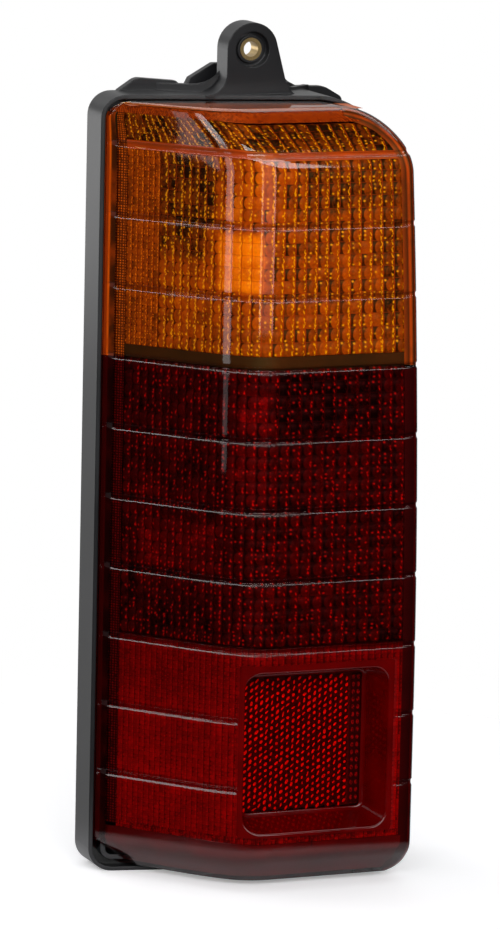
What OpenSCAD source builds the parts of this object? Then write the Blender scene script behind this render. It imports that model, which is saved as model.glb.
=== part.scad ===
/* [Lens] */
// Width of the lens across the front
lens_w = 122.5; // [116:0.5:130]
// Height of the lens
lens_h = 330; // [326:1:345]
// Thickness of the lens walls
lens_wall = 2.8; // [2.2:0.1:3.4]
// Width of the angled side face, seen from the front
side_w = 46; // [42:0.5:50]
// Depth that the angled side face runs back
side_d = 58.6; // [56:0.2:62]
// Radius of the upright edge between the two faces
corner_r = 25; // [15:1:28]
// Radius of the right upright edge
edge_r = 5; // [4:0.5:7]
// Height of the sloped band along the top
top_slope_h = 19; // [15:1:22]
// Depth of the sloped band along the top
top_slope_d = 15; // [12:1:18]
// Height and depth of the sloped band along the bottom
bottom_slope = 13; // [10:1:15]
// Height and depth of the sloped band along the bottom of the side face
side_slope = 11; // [8:1:13]
// Radius of the large upper right corner
upper_corner_r = 28; // [20:1:32]
// Radius of the lower right corner
lower_corner_r = 8; // [5:1:12]
// Radius of the two left corners
left_corner_r = 8; // [5:1:12]
// Radius of the gently bowed right edge
bow_r = 4000; // [3600:100:8000]

/* [Grooves] */
// Number of grooves across the lens
groove_n = 10; // [8:1:10]
// Distance from one groove to the next
groove_pitch = 30; // [28:0.5:30]
// Height of a groove
groove_w = 3; // [2:0.2:3.6]
// Depth of a groove
groove_d = 1.6; // [1:0.1:1.8]
// Height of the lowest groove above the lens bottom
groove_first = 42; // [39:0.5:45]
// Number of grooves below the joint of the red and amber lenses
joint_groove = 6; // [5:1:6]

/* [Reflex recess] */
// Width of the recess at its mouth
recess_w = 64; // [58:1:68]
// Height of the recess at its mouth
recess_h = 69; // [60:1:70]
// Depth of the recess
recess_d = 20; // [16:1:22]
// Narrowing of the recess on each side, mouth to floor
recess_draft = 4; // [2:0.5:5]
// Corner radius of the recess at its mouth
recess_r = 7; // [6:0.5:9]
// Recess to the right edge of the lens
recess_right = 11.5; // [10:0.5:14]
// Recess to the bottom of the lens
recess_bottom = 24; // [20:1:28]
// Thickness of the reflex panel
reflex_t = 2.5; // [2:0.1:3.5]

/* [Housing] */
// Depth of the whole housing from the lens front to the back face
housing_d = 75; // [73:0.5:80]
// Width of the black lip around the lens
lip_w = 2; // [1.6:0.1:2.5]
// How far the lip stands forward of the lens joint
lip_proud = 1; // [0.6:0.1:1.5]
// Thickness of the housing walls
housing_wall = 2.5; // [2:0.1:3]
// Angle of the lens joint to the back face, seen from above
seam_angle = 12; // [9:0.5:13]
// Depth of the channel that takes the lens edge
channel_d = 6; // [5:0.2:7]
// Gap on each side of the lens edge in its channel
channel_gap = 0.3; // [0.2:0.05:0.4]
// Length of lens edge inside the channel
tongue_l = 4; // [3:0.2:4.4]

/* [Lug] */
// Distance of the lug bore from the left edge of the lens
lug_x = 61.5; // [58:0.5:65]
// Height of the lug bore above the housing top
lug_rise = 19; // [16:0.5:22]
// Outer radius of the lug head
lug_r = 11.3; // [10.5:0.1:13]
// Thickness of the lug
lug_t = 12; // [10:0.5:13]
// Lug front to the lens joint beside it
lug_set = 2.4; // [2:0.1:4]
// Lean of the right flank of the lug
lug_flank = 15; // [8:1:18]
// Radius that flares the lug foot on the left
flare_left = 9; // [5:0.5:12]
// Radius that flares the lug foot on the right
flare_right = 5; // [3:0.5:7]
// Radius of the counterbore on each face of the lug
counterbore_r = 7.5; // [6.8:0.1:8.5]
// Outer radius of the brass bush
bush_r = 4.8; // [4.5:0.1:5.5]
// Radius of the bush bore
bush_bore_r = 3.25; // [2.7:0.05:3.6]
// Length of the brass bush
bush_l = 8; // [6:0.5:9]

/* [Rear flange] */
// Thickness of the raised flange along the back of the top
flange_t = 4; // [3:0.5:5]
// Height of the flange above the housing top
flange_h = 5.5; // [4:0.5:7]
// Thickness of the webs beside the lug
web_t = 2.6; // [2:0.2:4]

/* [Lamps] */
// Distance of the bulbs to the right of the middle of the lens
bulb_off = 4.75; // [1:0.25:8]
// Focal length of the reflector bowls
bowl_f = 12.8; // [11:0.2:14]
// Rim of the reflector bowls to the right edge of the lens
bowl_side = 21.5; // [19:0.5:26]
// Thickness of the reflectors
reflector_t = 1.8; // [1.4:0.1:2.2]
// Radius of the hole for a bulb in its bowl
bulb_hole_r = 15; // [14.2:0.2:17]
// Radius of a bulb's glass as a share of the bulb's length
glass_share = 0.256; // [0.22:0.002:0.268]
// Radius of a bulb's cap
cap_r = 7.5; // [7:0.1:8]
// Space between the recess and the tail bulb
bulb_clear = 6.4; // [4:0.2:10]

/* [Bulb carrier] */
// Thickness of the carrier plate
carrier_t = 2.5; // [2:0.1:3.5]
// Width of the carrier opening in the housing
carrier_open_w = 44; // [40:1:44]
// Overhang of the carrier plate on each side of its opening
carrier_side = 6; // [5:0.5:6]
// Thickness of the carrier seal
carrier_seal_t = 2; // [1.5:0.1:3]
// Width of the carrier seal
carrier_seal_w = 4; // [3:0.5:5]
// Depth of the connector shell
connector_d = 15; // [12:1:18]
// Width of a connector blade
blade_w = 4.8; // [3.5:0.1:5.2]
// Thickness of the contact strips
strip_t = 0.8; // [0.6:0.1:1]

/* [Body fixing] */
// Radius of the two locating pegs
peg_r = 4; // [3:0.5:5]
// Length of the two locating pegs
peg_l = 20; // [18:1:24]
// Step from the root of a peg to its nose
peg_step = 0.5; // [0.3:0.1:0.8]
// Thickness of the foam gasket
gasket_t = 4; // [3:0.5:6]
// Width of the foam gasket
gasket_w = 9; // [6:0.5:10]

/* [Hidden] */
$fn = 64;

// Outlines are lists of corners, anticlockwise, each with its own radius.
face_angle = atan2(side_d, side_w);
lens_bottom = lip_w;
lens_top = lens_bottom + lens_h;
housing_top = lens_top + lip_w;
bend_z = lens_top - top_slope_h;
bow_z = 72;
lean_z = 300;
reach = 400;
bend_r = 7;
step = 0.01;

lean_angle = asin((lean_z - bow_z) / bow_r);
lean_x = lens_w - bow_r * (1 - cos(lean_angle));
past = 0.1;
plan = [[side_w, 0], [lens_w + past, 0], [lens_w + past, reach], [-side_w, reach],
        [-side_w, 2 * side_d]];
plan_r = [corner_r, edge_r, 0, 0, 0];
profile = [[0, lens_bottom + bottom_slope], [2 * bottom_slope, lens_bottom - bottom_slope],
           [reach, lens_bottom - bottom_slope], [reach, lens_top + top_slope_h],
           [2 * top_slope_d, lens_top + top_slope_h], [0, bend_z]];
profile_r = [bend_r, 0, 0, 0, 0, bend_r];
side_profile = [[0, lens_bottom + side_slope], [2 * side_slope, lens_bottom - side_slope],
                [reach, lens_bottom - side_slope], [reach, reach], [0, reach]];
side_profile_r = [bend_r, 0, 0, 0, 0];
bow_n = 6;
bow_step = lean_angle / bow_n;
bow_corners = [for (k = [0 : bow_n - 1]) let (a = (k + 0.5) * bow_step)
               [lens_w - bow_r, bow_z] + bow_r / cos(bow_step / 2) * [cos(a), sin(a)]];
front = concat([[0, lens_bottom], [lens_w, lens_bottom]], bow_corners,
               [[lean_x - (lens_top - lean_z) * tan(lean_angle), lens_top], [0, lens_top]]);
front_r = concat([left_corner_r, lower_corner_r], [for (k = bow_corners) 0],
                 [upper_corner_r, left_corner_r]);

joint_z = lens_bottom + groove_first + joint_groove * groove_pitch;
lower_wall_z = lens_bottom + groove_first + 2 * groove_pitch;
groove_start = 2.2;
recess_x = lens_w - recess_right - recess_w;
recess_z = lens_bottom + recess_bottom;
recess_land = 2.5;

channel_in = lens_wall + channel_gap;
rim_wall = 2;
lens_band = 3;
back_y = housing_d - housing_wall;

lug_z = housing_top + lug_rise;
lug_y = seam_y(lug_x) + lug_set;
bush_y = lug_y + (lug_t - bush_l) / 2;
flange_y = housing_d - flange_t;
flange_root = 8;
collar_t = 1.2;
collar_d = 1.4;
fit = 0.05;

// The reflectors stand between the lens and the back wall.
bulb_x = lens_w / 2 + bulb_off;
bowl_r = lens_w / 2 - bulb_off - bowl_side;
bulb_z = [for (z = [[joint_z, lens_top], [lower_wall_z, joint_z], [lens_bottom, lower_wall_z]])
          (z[0] + z[1]) / 2];
bowl_d = bowl_r * bowl_r / (4 * bowl_f);
bowl_back_y = back_y - reflector_t - 0.7;
rim_y = bowl_back_y - bowl_d;
reflector_gap = 0.3;
wall_gap = 1;
screw_r = 1.75;
head_r = 3.6;
head_t = 2.4;
reflector_screw_x = [25, lens_w - 15.5];

seal_y = housing_d;
carrier_y = seal_y + carrier_seal_t;
carrier_back = carrier_y + carrier_t;
carrier_lo = bulb_z[2] - carrier_open_w / 2;
carrier_hi = bulb_z[0] + carrier_open_w / 2;
carrier_land = 18;
carrier_r = 8;
carrier_screw_x = [bulb_x - 14, bulb_x + 14];
carrier_screw_z = [carrier_lo - 11, carrier_hi + 11];
contact_r = 3.5;
contact_gap = 0.3;
bulb_l = carrier_back - contact_gap - recess_d - lens_wall - bulb_clear;
holder_t = 0.8;
holder_l = 14;
cup_wall = 2;
connector_z = (bulb_z[1] + bulb_z[2]) / 2;
connector_w = 40;
connector_h = 14;
connector_wall = 1.8;
blade_l = 9;
strip_w = 5;
strip_pitch = 8;
strip_x = [for (i = [0 : 3]) bulb_x + (i - 1.5) * strip_pitch];
earth_foot = 4;

depth = max(housing_d + peg_l, carrier_back + connector_d);

// Each peg has a thick root in its grommet and a thinner nose that stands clear of it.
peg_z = 30;
root_r = peg_r + peg_step;
nose_l = 8.5;
grommet_r = root_r + 3;
grommet_neck_r = root_r + 1.5;
grommet_neck_l = 2;
grommet_end = housing_d + peg_l - nose_l - 0.5;
peg_x = [22, lens_w - 20];
boss_wall = 2;
vent_x = 24;
vent_z = lens_top - 22;
vent_r = 4;
vent_l = 4;
peg_set = 6;
gasket_in = 4;

// Corners of the three parts of the rear flange, each a share of the lens width and of flange_h
left_hump = [[0.335, 0], [0.294, 0.7], [0.15, 1], [0.082, 0]];
middle_hump = [[0.754, 0], [0.71, 0.5], [0.645, 2], [0.433, 2], [0.347, 0.9], [0.3265, 0]];
right_hump = [[0.918, -0.84], [0.849, 0.04], [0.735, 0.11], [0.669, 0]];
// The foot of each web as a share of the lens width, its heights at both ends, and its hollow
left_web = [0.2286, 3.2, 14.4, 15];
right_web = [0.7837, 1, 8, 9];

function unit(v) = v / norm(v);
function left_of(v) = [-v[1], v[0]];
function side_of(p, i) = unit(p[(i + 1) % len(p)] - p[i]);
function before(p, i) = side_of(p, (i + len(p) - 1) % len(p));
function each_side(d, i) = is_list(d) ? d[i] : d;

// Corner i of outline p with every side moved inwards, by one distance or one for each side.
function moved(p, d, i) =
  let (a = left_of(before(p, i)), b = left_of(side_of(p, i)), c = a * b,
       da = each_side(d, (i + len(p) - 1) % len(p)), db = each_side(d, i))
  p[i] + a * (da - c * db) / (1 - c * c) + b * (db - c * da) / (1 - c * c);
function inset(p, d) = [for (i = [0 : len(p) - 1]) moved(p, d, i)];
function inner_r(r, d) = [for (x = r) x > d + 0.2 ? x - d : 0];
function tangent(p, r, i) = r[i] * tan(acos(before(p, i) * side_of(p, i)) / 2);
function centre(p, r, i) =
  let (a = left_of(before(p, i)), b = left_of(side_of(p, i)))
  p[i] + (a + b) * r[i] / (1 + a * b);
function cut_corners(p, r) =
  [for (i = [0 : len(p) - 1]) each r[i] > 0 ?
    [p[i] - before(p, i) * tangent(p, r, i), p[i] + side_of(p, i) * tangent(p, r, i)] : [p[i]]];

// Depth of the lens joint at a distance from the left edge
function seam_y(x) = side_d - x * tan(seam_angle);

// Puts the origin under the middle of the part
module at_origin() {
  translate([-lens_w / 2, -depth / 2, 0]) children();
}

module rounded(p, r) {
  polygon(cut_corners(p, r));
  for (i = [0 : len(p) - 1])
    if (r[i] > 0) translate(centre(p, r, i)) circle(r[i]);
}

// The lens seen from the front, with its right edge upright below and leaning above
module front_prism(d, y0, y1) {
  translate([0, y1, 0]) rotate([90, 0, 0]) linear_extrude(y1 - y0)
    rounded(inset(front, d), inner_r(front_r, d));
}

module plan_prism(d) {
  linear_extrude(lens_top + reach)
    rounded(inset(plan, d), inner_r(plan_r, is_list(d) ? max(d) : d));
}

module profile_prism(outline, r, d) {
  translate([-reach, 0, 0]) rotate([90, 0, 90]) linear_extrude(2 * reach)
    rounded(inset(outline, d), inner_r(r, d));
}

// Outer form of the lens with all its faces moved inwards, and a straight band beside the joint
module lens_form(d) {
  intersection() {
    plan_prism(d);
    profile_prism(profile, profile_r, d);
    translate([side_w, 0, 0]) rotate([0, 0, -face_angle])
      profile_prism(side_profile, side_profile_r, d);
    front_prism(d, -1, reach);
  }
  intersection() {
    front_prism(d, 0, reach);
    behind_seam(d - lens_band);
  }
}

module behind_seam(d) {
  translate([0, side_d + d, 0]) rotate([0, 0, -seam_angle])
    translate([-reach, 0, -reach]) cube([2 * reach, reach, 3 * reach]);
}

module rounded_rect(w, h, r) {
  rounded([[0, 0], [w, 0], [w, h], [0, h]], [r, r, r, r]);
}

// A rounded plate that stands across the Y axis
module plate(x, y, z, w, t, h, r) {
  translate([x, y + t, z]) rotate([90, 0, 0]) linear_extrude(t) rounded_rect(w, h, r);
}

// A round bar along the Y axis
module bar(x, y, z, r, l) {
  translate([x, y, z]) rotate([-90, 0, 0]) cylinder(r = r, h = l);
}

module ring(x, y, z, r_out, r_in, l) {
  difference() {
    bar(x, y, z, r_out, l);
    bar(x, y - 1, z, r_in, l + 2);
  }
}

// The drafted recess for the reflex panel, grown by d on its sides and by d at its floor
module recess(d) {
  hull() {
    plate(recess_x - d, -1, recess_z - d, recess_w + 2 * d, step, recess_h + 2 * d, recess_r + d,
          $fn = 32);
    plate(recess_x + recess_draft - d, recess_d + d - step, recess_z + recess_draft - d,
          recess_w - 2 * recess_draft + 2 * d, step, recess_h - 2 * recess_draft + 2 * d,
          recess_r - recess_draft + d, $fn = 32);
  }
}

module groove(i) {
  z = lens_bottom + groove_first + i * groove_pitch - groove_w / 2;
  difference() {
    translate([groove_start, -1, z]) cube([lens_w, side_d, groove_w]);
    plan_prism([groove_d, -5, -5, -5, groove_d]);
    plate(recess_x - recess_land, -2, recess_z - recess_land, recess_w + 2 * recess_land,
          recess_d, recess_h + 2 * recess_land, recess_r + recess_land);
  }
}

// The clear cover as one shell, before it is divided into its two colours
module cover() {
  difference() {
    lens_form(0);
    lens_form(lens_wall);
    behind_seam(tongue_l);
    for (i = [0 : groove_n - 1]) groove(i);
  }
}

module slab(z0, z1) {
  translate([-reach, -reach, z0]) cube([2 * reach, 2 * reach, z1 - z0]);
}

module amber_lens() {
  color("darkorange", 0.85) at_origin() intersection() {
    cover();
    slab(joint_z, lens_top + 1);
  }
}

module red_lens() {
  color("darkred", 0.85) at_origin() difference() {
    union() {
      intersection() {
        cover();
        slab(0, joint_z);
      }
      intersection() {
        recess(lens_wall);
        lens_form(0);
      }
    }
    recess(0);
  }
}

module reflex_panel() {
  edge = recess_draft * (recess_d - reflex_t) / recess_d + channel_gap;
  color("crimson") at_origin() plate(recess_x + edge, recess_d - reflex_t, recess_z + edge,
    recess_w - 2 * edge, reflex_t, recess_h - 2 * edge, recess_r - recess_draft);
}

module lens_seal() {
  edge = 0.1;
  color("dimgray") at_origin() difference() {
    front_prism(edge - channel_gap, seam_y(lens_w), housing_d);
    front_prism(channel_in - edge, 0, reach);
    difference() {
      translate([-reach, -reach, -reach]) cube(3 * reach);
      behind_seam(tongue_l);
    }
    behind_seam(channel_d);
  }
}

module lug_shape() {
  tip = [lug_x + lug_r * cos(lug_flank), lug_z + lug_r * sin(lug_flank)];
  foot = housing_top - 1;
  foot_x = tip[0] + (tip[1] - foot) * tan(lug_flank);
  translate([lug_x, lug_z]) circle(lug_r);
  polygon([[lug_x - lug_r, foot], [foot_x, foot], tip, [lug_x, lug_z], [lug_x - lug_r, lug_z]]);
  difference() {
    translate([lug_x - lug_r - flare_left, foot]) square([flare_left + 1, flare_left + 1]);
    translate([lug_x - lug_r - flare_left, foot + flare_left + 1]) circle(flare_left);
  }
  difference() {
    translate([foot_x - 2, foot]) square([flare_right + 2, flare_right + 1]);
    translate([foot_x + flare_right, foot + flare_right + 1]) circle(flare_right + 0.6);
  }
}

// One part of the flange: a hump's corners and radii, above a root in the housing from x0 to x1
module on_top(hump, r, x0, x1, drop) {
  corners = [for (c = hump) [c[0] * lens_w, c[1] * flange_h]];
  translate([0, housing_top])
    rounded(concat([[x0 * lens_w, -flange_root], [x1 * lens_w, -flange_root - drop]], corners),
            concat([0, 0], r));
}

// The raised flange on the back of the housing top, with a hump on each side of the lug
module flange_shape() {
  on_top(left_hump, [3, 0, 6, 3], 0.07, 0.36, 0);
  on_top(middle_hump, [4, 3, 2, 2, 0, 0], 0.3265, 0.751, 0);
  on_top(right_hump, [3, 8, 4, 0], 0.669, 0.914, 4);
}

// One of the thin webs that run from the flange forward to the lug, with a hollow in its top
module web(w, to) {
  from = [w[0] * lens_w, flange_y + 1];
  low = w[1];
  high = w[2];
  r = w[3];
  l = norm(to - from);
  turn = atan2(to[1] - from[1], to[0] - from[0]);
  flat = l / 2;
  translate([from[0], from[1], housing_top]) rotate([0, 0, turn]) rotate([90, 0, 0])
    translate([0, 0, -web_t / 2]) linear_extrude(web_t) {
      translate([0, -1]) square([flat + 1, low + 1]);
      difference() {
        translate([flat, -1]) square([l - flat, high + 1]);
        translate([flat + 1, low + r]) circle(r);
        translate([flat - 1, low]) square([2, high]);
      }
    }
}

module upright_plate(y, t) {
  translate([0, y + t, 0]) rotate([90, 0, 0]) linear_extrude(t) children();
}

module housing_shell() {
  difference() {
    intersection() {
      front_prism(-lip_w, 0, housing_d);
      behind_seam(-lip_proud);
    }
    // channel for the lens edge
    difference() {
      front_prism(-channel_gap, 0, housing_d);
      front_prism(channel_in, 0, reach);
      behind_seam(channel_d);
    }
    // inside, as far as the back wall
    front_prism(channel_in + rim_wall, 0, back_y);
    intersection() {
      front_prism(housing_wall - lip_w, 0, back_y);
      behind_seam(channel_d + housing_wall);
    }
    plate(bulb_x - carrier_open_w / 2, back_y - 1, carrier_lo, carrier_open_w,
          housing_wall + 2, carrier_hi - carrier_lo, carrier_r);
    bar(vent_x, back_y - 1, vent_z, vent_r - 1.2, housing_wall + 2);
  }
}

module screw_bosses() {
  for (x = reflector_screw_x, z = bulb_z)
    ring(x, rim_y + reflector_t, z, head_r, screw_r, back_y - rim_y - reflector_t + 1);
  for (x = carrier_screw_x, z = carrier_screw_z)
    ring(x, back_y - 9, z, head_r + 0.6, screw_r, 10);
}

module housing() {
  color([0.09, 0.09, 0.1]) at_origin() difference() {
    union() {
      housing_shell();
      screw_bosses();
      upright_plate(lug_y, lug_t) lug_shape();
      web(left_web, [lug_x - lug_r + 1, lug_y + lug_t - 2]);
      web(right_web, [lug_x + lug_r + 5, lug_y + lug_t - 2]);
      upright_plate(flange_y, flange_t) flange_shape();
      for (x = peg_x)
        bar(x, back_y - peg_set - boss_wall, peg_z, root_r + boss_wall, peg_set + boss_wall + 1);
      ring(vent_x, back_y, vent_z, vent_r, vent_r - 1.2, housing_wall + vent_l);
    }
    for (x = peg_x) bar(x, back_y - peg_set, peg_z, root_r + fit, peg_set + housing_wall + 1);
    bar(lug_x, lug_y - 1, lug_z, bush_r + fit, lug_t + 2);
    bar(lug_x, lug_y - 1, lug_z, counterbore_r, bush_y - lug_y + 1);
    ring(lug_x, lug_y, lug_z, counterbore_r, bush_r + collar_t, bush_y - lug_y + collar_d);
    bar(lug_x, bush_y + bush_l, lug_z, counterbore_r, lug_t);
    for (x = carrier_screw_x, z = carrier_screw_z)
      bar(x, back_y - 9, z, screw_r, housing_wall + 12);
  }
}

module lug_bush() {
  color("darkgoldenrod") at_origin() ring(lug_x, bush_y, lug_z, bush_r, bush_bore_r, bush_l);
}

// A parabola from its vertex out to radius r, as points of radius and depth
function bowl(r, extra) = [for (i = [0 : 12]) [r * i / 12, pow(r * i / 12, 2) / (4 * bowl_f) - extra]];

module bowl_solid(z, extra) {
  translate([bulb_x, bowl_back_y, z]) rotate([90, 0, 0]) rotate_extrude()
    polygon(concat(bowl(bowl_r + extra, extra), [[0, bowl_d + 20]]));
}

// One metallised reflector between heights z0 and z1, with a shelf below it that divides the lamp
module reflector(i, z0, z1, shelf) {
  edge = channel_in + rim_wall + reflector_gap;
  difference() {
    intersection() {
      union() {
        intersection() {
          bowl_solid(bulb_z[i], reflector_t);
          translate([0, rim_y, 0]) cube([reach, reach, reach]);
        }
        translate([-1, rim_y, z0]) cube([reach, reflector_t, z1 - z0]);
        if (shelf) translate([-1, 0, z0]) cube([reach, rim_y + 1, reflector_t]);
      }
      lens_form(lens_wall + wall_gap);
      front_prism(edge, 0, reach);
      slab(z0, z1);
    }
    intersection() {
      bowl_solid(bulb_z[i], 0);
      slab(z0 + (shelf ? reflector_t : 0), z1);
    }
    bar(bulb_x, rim_y, bulb_z[i], bulb_hole_r, reach);
    for (x = reflector_screw_x) bar(x, rim_y - 1, bulb_z[i], screw_r + 0.2, reflector_t + 2);
  }
}

module turn_reflector() {
  color("silver") at_origin() reflector(0, joint_z + 2, lens_top, true);
}

module stop_reflector() {
  color("silver") at_origin() reflector(1, lower_wall_z + 2, joint_z + 1, true);
}

module tail_reflector() {
  color("silver") at_origin() reflector(2, lens_bottom, lower_wall_z + 1, false);
}

module reflector_screws() {
  color("lightgray") at_origin() for (x = reflector_screw_x, z = bulb_z) {
    bar(x, rim_y - head_t, z, head_r, head_t);
    bar(x, rim_y - step, z, screw_r - fit, 12);
  }
}

// A bayonet bulb, with its glass, waist and cap as one turned solid
module bulb(z) {
  tip_y = carrier_back - contact_gap - bulb_l;
  waist = cap_r - 0.6;
  glass_r = glass_share * bulb_l;
  glass_l = 0.66 * bulb_l;
  cap_l = bulb_l - glass_l;
  translate([bulb_x, tip_y, z]) rotate([-90, 0, 0]) union() {
    rotate_extrude() difference() {
      union() {
        translate([0, glass_r]) circle(glass_r);
        polygon([[0, glass_r], [glass_r, glass_r], [waist, glass_l], [0, glass_l]]);
        translate([0, glass_l - 1]) square([cap_r, cap_l - 2]);
        translate([0, glass_l]) square([contact_r - 0.5, cap_l]);
      }
      translate([-2 * glass_r, -1]) square([2 * glass_r, bulb_l + 2]);
    }
  }
}

module turn_bulb() {
  color("orange") at_origin() bulb(bulb_z[0]);
}

module stop_bulb() {
  color("whitesmoke") at_origin() bulb(bulb_z[1]);
}

module tail_bulb() {
  color("whitesmoke") at_origin() bulb(bulb_z[2]);
}

module holder(z) {
  ring(bulb_x, carrier_y - holder_l, z, cap_r + fit + holder_t, cap_r + fit, holder_l);
}

module turn_holder() {
  color("gainsboro") at_origin() holder(bulb_z[0]);
}

module stop_holder() {
  color("gainsboro") at_origin() holder(bulb_z[1]);
}

module tail_holder() {
  color("gainsboro") at_origin() holder(bulb_z[2]);
}

// A contact strip up or down the carrier, with a foot at its bulb and a blade in the connector
module strip(x, z, foot_x, grow) {
  lo = min(z, connector_z) - strip_w / 2;
  hi = max(z, connector_z) + strip_w / 2;
  x0 = min(x, foot_x) - strip_w / 2;
  x1 = max(x, foot_x) + strip_w / 2;
  translate([x - strip_w / 2 - grow, carrier_back, lo - grow])
    cube([strip_w + 2 * grow, strip_t + grow, hi - lo + 2 * grow]);
  translate([x0 - grow, carrier_back, z - strip_w / 2 - grow])
    cube([x1 - x0 + 2 * grow, strip_t + grow, strip_w + 2 * grow]);
  translate([x - blade_w / 2 - grow, carrier_back, connector_z - strip_t / 2 - grow])
    cube([blade_w + 2 * grow, blade_l, strip_t + 2 * grow]);
}

module turn_strip() {
  color("goldenrod") at_origin() strip(strip_x[0], bulb_z[0], bulb_x, 0);
}

module stop_strip() {
  color("goldenrod") at_origin() strip(strip_x[1], bulb_z[1], bulb_x, 0);
}

module tail_strip() {
  color("goldenrod") at_origin() strip(strip_x[2], bulb_z[2], bulb_x, 0);
}

// The earth strip runs past all three bulbs
module earth_form(grow) {
  strip(strip_x[3], bulb_z[0], strip_x[3] - earth_foot, grow);
  strip(strip_x[3], bulb_z[1], strip_x[3] - earth_foot, grow);
  strip(strip_x[3], bulb_z[2], strip_x[3] - earth_foot, grow);
}

module earth_strip() {
  color("tan") at_origin() earth_form(0);
}

module bulb_carrier() {
  cup_r = cap_r + 2 * fit + holder_t;
  color([0.2, 0.2, 0.22]) at_origin() difference() {
    union() {
      plate(bulb_x - carrier_open_w / 2 - carrier_side, carrier_y, carrier_lo - carrier_land,
            carrier_open_w + 2 * carrier_side, carrier_t,
            carrier_hi - carrier_lo + 2 * carrier_land, carrier_r);
      for (z = bulb_z) ring(bulb_x, carrier_y - holder_l, z, cup_r + cup_wall, cup_r, holder_l + 1);
      plate(bulb_x - connector_w / 2, carrier_back, connector_z - connector_h / 2,
            connector_w, connector_d, connector_h, 3);
    }
    for (z = bulb_z) bar(bulb_x, carrier_y - 1, z, contact_r, carrier_t + 2);
    for (x = peg_x) bar(x, carrier_y - 1, peg_z, grommet_r + 0.2, carrier_t + 2);
    plate(bulb_x - connector_w / 2 + connector_wall, carrier_back + 1.5,
          connector_z - connector_h / 2 + connector_wall, connector_w - 2 * connector_wall,
          connector_d, connector_h - 2 * connector_wall, 1.5);
    for (x = carrier_screw_x, z = carrier_screw_z)
      bar(x, carrier_y - 1, z, screw_r + 0.2, carrier_t + 2);
    for (i = [0 : 2]) strip(strip_x[i], bulb_z[i], bulb_x, fit);
    earth_form(fit);
  }
}

module carrier_seal() {
  o = carrier_seal_w;
  color("black") at_origin() difference() {
    plate(bulb_x - carrier_open_w / 2 - o, seal_y, carrier_lo - o, carrier_open_w + 2 * o,
          carrier_seal_t, carrier_hi - carrier_lo + 2 * o, carrier_r + o);
    plate(bulb_x - carrier_open_w / 2, seal_y - 1, carrier_lo, carrier_open_w,
          carrier_seal_t + 2, carrier_hi - carrier_lo, carrier_r);
  }
}

module carrier_screws() {
  color("lightgray") at_origin() for (x = carrier_screw_x, z = carrier_screw_z) {
    bar(x, carrier_back, z, head_r, head_t);
    bar(x, back_y - 6, z, screw_r - fit, carrier_back - back_y + 6 + step);
  }
}

module body_gasket() {
  edge = gasket_in - lip_w;
  color("black") at_origin() difference() {
    front_prism(edge, housing_d, housing_d + gasket_t);
    front_prism(edge + gasket_w, 0, reach);
  }
}

module locating_pegs() {
  color("lightgray") at_origin() for (x = peg_x) {
    bar(x, back_y - peg_set, peg_z, root_r, peg_set + housing_wall + peg_l - nose_l);
    bar(x, housing_d, peg_z, peg_r, peg_l);
  }
}

// Rubber grommets on the pegs, each with a groove for the edge of the body panel
module peg_grommets() {
  r = root_r + fit;
  neck_y = housing_d + gasket_t;
  color("black") at_origin() for (x = peg_x) {
    ring(x, housing_d, peg_z, grommet_r, r, gasket_t);
    ring(x, neck_y, peg_z, grommet_neck_r, r, grommet_neck_l);
    ring(x, neck_y + grommet_neck_l, peg_z, grommet_r, r, grommet_end - neck_y - grommet_neck_l);
  }
}

module vent_cap() {
  color("dimgray") at_origin() difference() {
    bar(vent_x, housing_d + 0.5, vent_z, vent_r + 1.5, vent_l + 1.5);
    bar(vent_x, housing_d, vent_z, vent_r + fit, vent_l + 0.2);
  }
}

housing();
lug_bush();
amber_lens();
red_lens();
reflex_panel();
lens_seal();
turn_reflector();
stop_reflector();
tail_reflector();
reflector_screws();
turn_bulb();
stop_bulb();
tail_bulb();
turn_holder();
stop_holder();
tail_holder();
bulb_carrier();
carrier_seal();
carrier_screws();
earth_strip();
turn_strip();
stop_strip();
tail_strip();
body_gasket();
locating_pegs();
peg_grommets();
vent_cap();
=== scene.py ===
import math
import bpy
import numpy as np
from mathutils import Matrix, Vector


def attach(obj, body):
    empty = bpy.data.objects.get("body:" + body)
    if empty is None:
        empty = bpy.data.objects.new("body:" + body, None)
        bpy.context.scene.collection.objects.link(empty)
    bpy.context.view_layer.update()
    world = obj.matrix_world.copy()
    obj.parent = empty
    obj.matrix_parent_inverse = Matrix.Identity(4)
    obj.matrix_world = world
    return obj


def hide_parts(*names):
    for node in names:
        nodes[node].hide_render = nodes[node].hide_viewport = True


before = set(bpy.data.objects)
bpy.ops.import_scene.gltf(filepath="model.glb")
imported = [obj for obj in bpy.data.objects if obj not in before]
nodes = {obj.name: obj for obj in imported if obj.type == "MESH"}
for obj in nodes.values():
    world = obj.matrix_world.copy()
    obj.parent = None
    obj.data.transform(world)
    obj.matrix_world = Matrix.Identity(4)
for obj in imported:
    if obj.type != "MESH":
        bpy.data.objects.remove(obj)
scene = bpy.context.scene


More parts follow.
